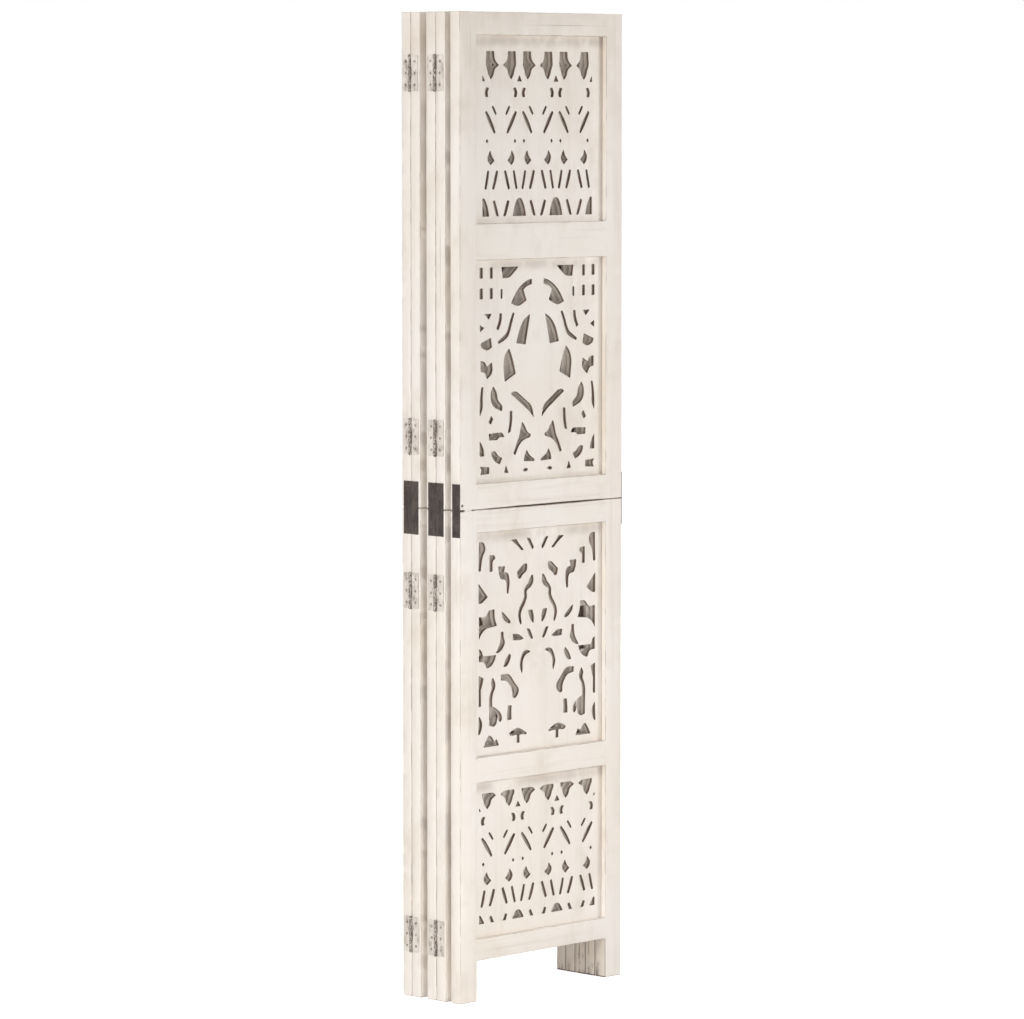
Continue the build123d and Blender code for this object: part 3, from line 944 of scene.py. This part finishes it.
class Finish(Nodes):
    """One material and the nodes that make it."""

    def __init__(self, name):
        self.material = bpy.data.materials.new(name)
        super().__init__(self.material, "Principled BSDF")
        self.look = bpy.context.scene.screen_finish
        self.place = self.add("ShaderNodeTexCoord").outputs["Object"]

    def cloud(self, stretch, detail=3.0, roughness=0.55, offset=(0, 0, 0)):
        """Smooth noise, with a number of waves per metre on each axis."""
        spread = self.add("ShaderNodeMapping", {"Vector": self.place, "Scale": stretch, "Location": offset})
        return self.add("ShaderNodeTexNoise", {"Vector": spread.outputs[0], "Scale": 1.0, "Detail": detail,
                                               "Roughness": roughness}).outputs[0]

    def step(self, value, low, high, start=0.0, end=1.0):
        """A smooth step from start to end."""
        node = self.add("ShaderNodeMapRange", {0: value, 1: low, 2: high, 3: start, 4: end},
                        interpolation_type="SMOOTHSTEP")
        return node.outputs[0]

    def blend(self, share, first, second):
        """A colour between two others."""
        ends = [end if isinstance(end, bpy.types.NodeSocket) else (*end, 1) for end in (first, second)]
        return self.add("ShaderNodeMix", {0: share, 6: ends[0], 7: ends[1]}, data_type="RGBA").outputs[2]

    def bare(self):
        """How bare the mesh says it is."""
        return self.add("ShaderNodeAttribute", attribute_name="bare").outputs["Fac"]

    def relief(self, *heights):
        """Bump from pairs of a height and a distance in metres."""
        inputs = {"Strength": 1.0}
        for height, distance in heights:
            bump = self.add("ShaderNodeBump", {**inputs, "Height": height, "Distance": distance})
            inputs["Normal"] = bump.outputs[0]
        self.feed(self.end, {"Normal": inputs["Normal"]})


def grain_scale(across, along, axis):
    """Waves per metre for a grain that runs along one axis."""
    return tuple(along if index == axis else across for index in range(3))


def wood_colours(finish, axis):
    """The colour of the wood under the paint; where the wood is cut through it has no run of grain."""
    look = finish.look
    if axis is None:
        figure = finish.cloud((44, 44, 44), 5.0, 0.65)
        return finish.blend(finish.step(figure, 0.2, 0.55), look.bare_wood, look.cut_wood)
    figure = finish.cloud(grain_scale(150, 7, axis), 5.0, 0.65)
    return finish.blend(finish.step(figure, 0.36, 0.66), look.dark_wood, look.bare_wood)


def whitewash(name, axis, streak, crack, bare_from, bare_to, cut_axis):
    """Thin paint over wood: the grain shows through it and it is rubbed off where the mesh says so."""
    finish = Finish(name)
    look, step, blend, join = finish.look, finish.step, finish.blend, finish.sum
    patches = finish.cloud((6, 6, 4.2), 3.0)
    streaks = finish.cloud(grain_scale(95, 3.6, axis), 5.0, 0.62)
    fibres = finish.cloud(grain_scale(620, 13, axis), 3.0, 0.6)
    flecks = finish.cloud((34, 34, 26), 4.0, 0.6, (3.1, 0.7, 1.9))
    scratches = finish.cloud(grain_scale(170, 4.5, axis), 4.0, 0.6, (5.3, 8.8, 2.6))
    blotches = finish.cloud((15, 15, 10), 4.0, 0.62, (1.4, 5.2, 8.1))
    bare = finish.bare()
    colour = blend(step(patches, 0.36, 0.66), look.whitewash, look.cool_wash)
    colour = blend(step(blotches, 0.5, 0.78, 0.0, 0.5), colour, look.thin_wash_and_shade)
    thin = join(step(streaks, 0.5, 0.74, 0.0, streak), step(fibres, 0.52, 0.8, 0.0, streak / 2))
    colour = blend(join(thin, step(bare, 0.05, 0.6, 0.0, 0.55), "MAXIMUM"), colour, look.thin_wash_and_shade)
    # More bare wood shows within a few millimetres of the floor, and painted shade tints the paint towards the top
    low = finish.add("ShaderNodeSeparateXYZ", {0: finish.place}).outputs[2]
    floor_band = step(low, 0.0005, 0.0025, 0.7, 0.0)
    painted_top_shade = step(low, 1.3, 1.63, 0.0, 0.3)
    colour = blend(join(painted_top_shade, step(blotches, 0.35, 0.6), "MULTIPLY"), colour, look.thin_wash_and_shade)
    if cut_axis is None:
        # Painted shadow on the front of a carving, just below the rail above it
        front = step(bare, BACK_MARK * 0.9, BACK_MARK * 0.1, 0.25, 1.0)
        front = join(front, step(blotches, 0.3, 0.55), "MULTIPLY")
        for _, top in OPENINGS:
            below = join(join(low, (top - PAINTED_SHADOW_DROP) * MM, "SUBTRACT"), 0.0, "ABSOLUTE")
            colour = blend(join(step(below, 0.0, 0.016, 0.4, 0.0), front, "MULTIPLY"), colour, look.stain_and_shade)
    wear = join(join(flecks, scratches), 0.5, "MULTIPLY")
    rubbed = step(join(bare, join(wear, floor_band)), bare_from, bare_to)
    if crack:
        splits = finish.cloud(grain_scale(210, 2.1, axis), 2.0, 0.5, (7.7, 1.3, 4.2))
        rubbed = join(rubbed, step(splits, 0.745, 0.78, 0.0, crack), "MAXIMUM")
    colour = blend(rubbed, colour, wood_colours(finish, cut_axis))
    finish.feed(finish.end, {"Base Color": colour, "Roughness": step(fibres, 0.3, 0.7, 0.52, 0.72)})
    finish.relief((streaks, 0.0005 * streak), (fibres, 0.00016), (rubbed, -0.00025))
    return finish.material


def hinge_paint():
    """Thin paint over steel, stained brown and worn through at the edges; on the leaves' edge walls this is partly
    wear and partly painted shade along the outlines.
    """
    finish = Finish("painted hinge")
    look, step, blend = finish.look, finish.step, finish.blend
    drips = finish.cloud((190, 190, 60), 4.0, 0.6)
    patches = finish.cloud((30, 30, 22), 3.0)
    stains = finish.cloud((95, 95, 48), 4.0, 0.62, (4, 1, 6))
    # On the leaves' edge walls these marks are partly wear and partly painted shade that prints the dark outline
    chip_and_shade_level = finish.sum(finish.bare(), finish.cloud((420, 420, 300), 4.0, 0.65, (2, 5, 1)))
    chipped_and_shaded = step(chip_and_shade_level, 0.92, 1.26)
    colour = blend(step(patches, 0.4, 0.62), look.whitewash, look.hinge_wash)
    colour = blend(step(drips, 0.42, 0.66, 0.2, 0.9), colour, look.hinge_wash)
    colour = blend(step(stains, 0.48, 0.68, 0.0, 0.75), colour, look.stain_and_shade)
    finish.feed(finish.end, {"Base Color": blend(chipped_and_shaded, colour, look.worn_steel_and_outline_shade),
                             "Metallic": step(chipped_and_shaded, 0.0, 1.0, 0.0, 0.4),
                             "Roughness": step(drips, 0.3, 0.7, 0.45, 0.66)})
    finish.relief((drips, 0.0003), (chipped_and_shaded, -0.0002))
    return finish.material


def dark_steel():
    """Blackened steel, brown in patches and rubbed at the edges."""
    finish = Finish("dark steel")
    look, step, blend = finish.look, finish.step, finish.blend
    rolled = finish.cloud((700, 700, 22), 4.0, 0.6)
    patches = finish.cloud((60, 60, 34), 5.0, 0.65)
    rub = finish.sum(finish.bare(), finish.cloud((260, 260, 120), 4.0, 0.6))
    colour = blend(step(patches, 0.35, 0.7), look.steel, look.worn_steel_and_outline_shade)
    colour = blend(step(rub, 1.0, 1.3, 0.0, 0.8), colour, look.worn_steel_and_outline_shade)
    finish.feed(finish.end, {"Base Color": colour, "Metallic": 0.3, "Roughness": step(rolled, 0.3, 0.7, 0.42, 0.62)})
    finish.relief((patches, 0.0002), (rolled, 0.00006))
    return finish.material


def finish_of(name):
    """A finish by name, made when it is first asked for."""
    if name in bpy.data.materials:
        return bpy.data.materials[name]
    if name == "painted hinge":
        return hinge_paint()
    if name == "dark steel":
        return dark_steel()
    return whitewash(name, *WASHES[name])


# --- Operators ---


class SCREEN_OT_stiles(bpy.types.Operator):
    """Model the uprights of every half-frame"""

    bl_idname = "folding_screen.stiles"
    bl_label = "Stiles"

    def execute(self, context):
        for number in PANELS:
            for half, bottom, top, _ in half_frames():
                pair = []
                for left, right in ((-HALF_WIDTH, -INNER_HALF), (INNER_HALF, HALF_WIDTH)):
                    stile = board(left, right, bottom, top)
                    knock_edges(stile, number * 11.3 + left)
                    open_seam(stile, CORNER_WEAR, 0.0)
                    if left < 0 and half == "upper":
                        nail_pit(stile)
                    elif left < 0:
                        paint_bridge(stile)
                    pair.append((to_mesh(stile, "stile"), Matrix()))
                show_on_panel(number, f"{half}_stiles", pair, "whitewashed uprights")
        return {"FINISHED"}


class SCREEN_OT_rails(bpy.types.Operator):
    """Model the crosspieces of every half-frame"""

    bl_idname = "folding_screen.rails"
    bl_label = "Rails"

    def execute(self, context):
        for number in PANELS:
            for half, low_end, high_end, rails in half_frames():
                bars = []
                for bottom, top in rails:
                    bar = board(-INNER_HALF, INNER_HALF, max(bottom, low_end), min(top, high_end))
                    knock_edges(bar, number * 7.9 + bottom)
                    open_seam(bar, 0.0, SEAM_BOW)
                    bars.append((to_mesh(bar, "rail"), Matrix()))
                show_on_panel(number, f"{half}_rails", bars, "whitewashed crosspieces")
        return {"FINISHED"}


class SCREEN_OT_carvings(bpy.types.Operator):
    """Model the four openwork boards of every panel"""

    bl_idname = "folding_screen.carvings"
    bl_label = "Carvings"

    def execute(self, context):
        plain, moved = carvings(0.0), carvings(PATTERN_SHIFT)
        for number in PANELS:
            for place, carved in (moved if turned(number) else plain).items():
                parts = [(carved, Matrix())]
                show_on_panel(number, f"{place}_carving", parts, "whitewashed carving")
        return {"FINISHED"}


class SCREEN_OT_hinges(bpy.types.Operator):
    """Model the hinge leaves with their screws, and the pins"""

    bl_idname = "folding_screen.hinges"
    bl_label = "Hinges"

    def execute(self, context):
        leaves = {outer: hinge_leaf(outer) for outer in (True, False)}
        for number in PANELS:
            placed = []
            for name, (carrier, mate) in HINGE_LINES.items():
                if number not in (carrier, mate):
                    continue
                pin = closed_place(number).inverted() @ Vector((*pin_line(name), 0))
                side = 1 if pin.x > 0 else -1
                inward = 1 if pin.y < PANEL_THICKNESS / 2 else -1
                for centre in HINGE_CENTRES:
                    place = on_edge(side, inward, pin.y, centre, LEAF_THICKNESS)
                    placed.append((leaves[number == carrier], place))
            show_on_panel(number, "hinge_leaves", placed, "painted hinge")
        radius = context.scene.screen_metal.pin_radius / MM
        reach = HINGE_HEIGHT / 2 + PIN_OVERHANG
        for name, (carrier, _) in HINGE_LINES.items():
            pins = bmesh.new()
            for centre in HINGE_CENTRES:
                barrel(pins, radius, centre - reach, centre + reach, *pin_line(name))
            bmesh.ops.transform(pins, matrix=fold(carrier), verts=pins.verts[:])
            show(f"hinge_pins_{name}", to_mesh(pins, "hinge_pins"), f"panel_{carrier}", "dark steel",
                 f"hinge_{name}_pins")
        return {"FINISHED"}


class SCREEN_OT_plates(bpy.types.Operator):
    """Model the steel plates that join the half-frames, and the nail beside each left one"""

    bl_idname = "folding_screen.plates"
    bl_label = "Joining plates"

    def execute(self, context):
        template = joining_plate()
        nail = bmesh.new()
        barrel(nail, NAIL_RADIUS, 0, NAIL_LENGTH, 0, 0)
        nail = to_mesh(nail, "nail")
        driven = Matrix.Translation((NAIL_PLACE[0], NAIL_LENGTH + NAIL_DEPTH, NAIL_PLACE[1]))
        driven = driven @ Matrix.Rotation(pi / 2, 4, "X")
        placed = [(nail, driven)]
        for side in (-1, 1):
            placed.append((template, on_edge(side, 1, PLATE_WIDTH / 2, SEAM_HEIGHT, SHEET_THICKNESS)))
        for number in PANELS:
            show_on_panel(number, "joining_plates", placed, "dark steel")
        return {"FINISHED"}


class SCREEN_OT_stage(bpy.types.Operator):
    """Set the floor, the light and the camera"""

    bl_idname = "folding_screen.stage"
    bl_label = "Stage"

    def execute(self, context):
        stage = context.scene.screen_stage
        self.lay_floor(stage)
        self.light_room(stage)
        for name, (place, aim, size) in LAMPS.items():
            data = bpy.data.lights.new(f"{name} lamp", "AREA")
            data.shape = "DISK"
            data.size = size
            data.energy = getattr(stage, f"{name}_power")
            self.stand(data, place, Vector(aim) - Vector(place)).visible_camera = False
        self.set_camera(stage)
        context.scene.view_settings.view_transform = "Standard"
        return {"FINISHED"}

    def lay_floor(self, stage):
        """A pale floor that shows white to the camera and keeps the object's shadow."""
        bm = bmesh.new()
        bmesh.ops.create_grid(bm, x_segments=1, y_segments=1, size=stage.floor_size / 2,
                              matrix=Matrix.Translation((0, 0, -FLOOR_DROP)))
        mesh = to_mesh(bm, "floor")
        floor = bpy.data.objects.new("floor", mesh)
        bpy.context.scene.collection.objects.link(floor)
        finish = Finish("pale floor")
        path = finish.add("ShaderNodeLightPath").outputs
        seen = finish.sum(path["Is Camera Ray"], path["Is Glossy Ray"], "MAXIMUM")
        finish.feed(finish.end, {"Base Color": (FLOOR_GREY, FLOOR_GREY, FLOOR_GREY, 1), "Roughness": 0.9,
                                 "Specular IOR Level": 0.0, "Emission Color": (1, 1, 1, 1),
                                 "Emission Strength": finish.sum(seen, FLOOR_GLOW, "MULTIPLY")})
        mesh.materials.append(finish.material)

    def light_room(self, stage):
        """An even room that shows white to the camera and in the metal."""
        world = bpy.data.worlds.new("room")
        bpy.context.scene.world = world
        room = Nodes(world, "Background")
        path = room.add("ShaderNodeLightPath").outputs
        either = room.sum(path["Is Glossy Ray"], path["Is Transmission Ray"], "MAXIMUM")
        seen = room.sum(path["Is Camera Ray"], either, "MAXIMUM")
        level = room.add("ShaderNodeMapRange", {0: seen, 3: stage.room_light, 4: 1.0}).outputs[0]
        room.feed(room.end, {"Color": (1, 1, 1, 1), "Strength": level})

    def stand(self, data, place, look):
        """Add a lamp or the camera, looking in a direction."""
        item = bpy.data.objects.new(data.name, data)
        item.location = place
        item.rotation_mode = "QUATERNION"
        item.rotation_quaternion = look.to_track_quat("-Z", "Y")
        bpy.context.scene.collection.objects.link(item)
        return item

    def set_camera(self, stage):
        """The camera stands to the front left, a little above the screen's middle."""
        data = bpy.data.cameras.new("camera")
        data.sensor_width = 36.0
        data.lens = stage.lens
        data.clip_end = 200.0
        turn, tilt = stage.camera_turn, stage.camera_tilt
        look = Vector((sin(turn) * cos(tilt), cos(turn) * cos(tilt), -sin(tilt)))
        bpy.context.scene.camera = self.stand(data, CAMERA_PLACE, look)


class SCREEN_PT_sidebar(bpy.types.Panel):
    """Lists the sizes, the colours and the operators"""

    bl_idname = "SCREEN_PT_sidebar"
    bl_label = "Folding screen"
    bl_space_type = "VIEW_3D"
    bl_region_type = "UI"
    bl_category = "Screen"

    def draw(self, context):
        for name, (label, group) in PROPERTY_SETS.items():
            box = self.layout.box()
            box.label(text=label)
            for key in group.__annotations__:
                box.prop(getattr(context.scene, name), key)
        for operator in OPERATORS:
            self.layout.operator(operator.bl_idname)


PROPERTY_SETS = {
    "screen_timber": ("Timber", ScreenTimber),
    "screen_carving": ("Carving", ScreenCarving),
    "screen_metal": ("Metal", ScreenMetal),
    "screen_finish": ("Finish", ScreenFinish),
    "screen_stage": ("Stage", ScreenStage),
}
OPERATORS = [SCREEN_OT_stiles, SCREEN_OT_rails, SCREEN_OT_carvings, SCREEN_OT_hinges, SCREEN_OT_plates,
             SCREEN_OT_stage]


def register():
    """Make the classes and the scene's properties known."""
    for name, (_, group) in PROPERTY_SETS.items():
        bpy.utils.register_class(group)
        setattr(bpy.types.Scene, name, PointerProperty(type=group))
    for cls in OPERATORS + [SCREEN_PT_sidebar]:
        bpy.utils.register_class(cls)


def unregister():
    """Take them away again."""
    for cls in [SCREEN_PT_sidebar] + OPERATORS[::-1]:
        bpy.utils.unregister_class(cls)
    for name, (_, group) in PROPERTY_SETS.items():
        delattr(bpy.types.Scene, name)
        bpy.utils.unregister_class(group)


def main():
    """Build everything in order."""
    register()
    for scene_object in list(bpy.context.scene.objects):
        if scene_object.name in ("Cube", "Light", "Camera"):
            bpy.data.objects.remove(scene_object)
    bpy.ops.folding_screen.stiles()
    bpy.ops.folding_screen.rails()
    bpy.ops.folding_screen.carvings()
    bpy.ops.folding_screen.hinges()
    bpy.ops.folding_screen.plates()
    bpy.ops.folding_screen.stage()


if __name__ == "__main__":
    main()
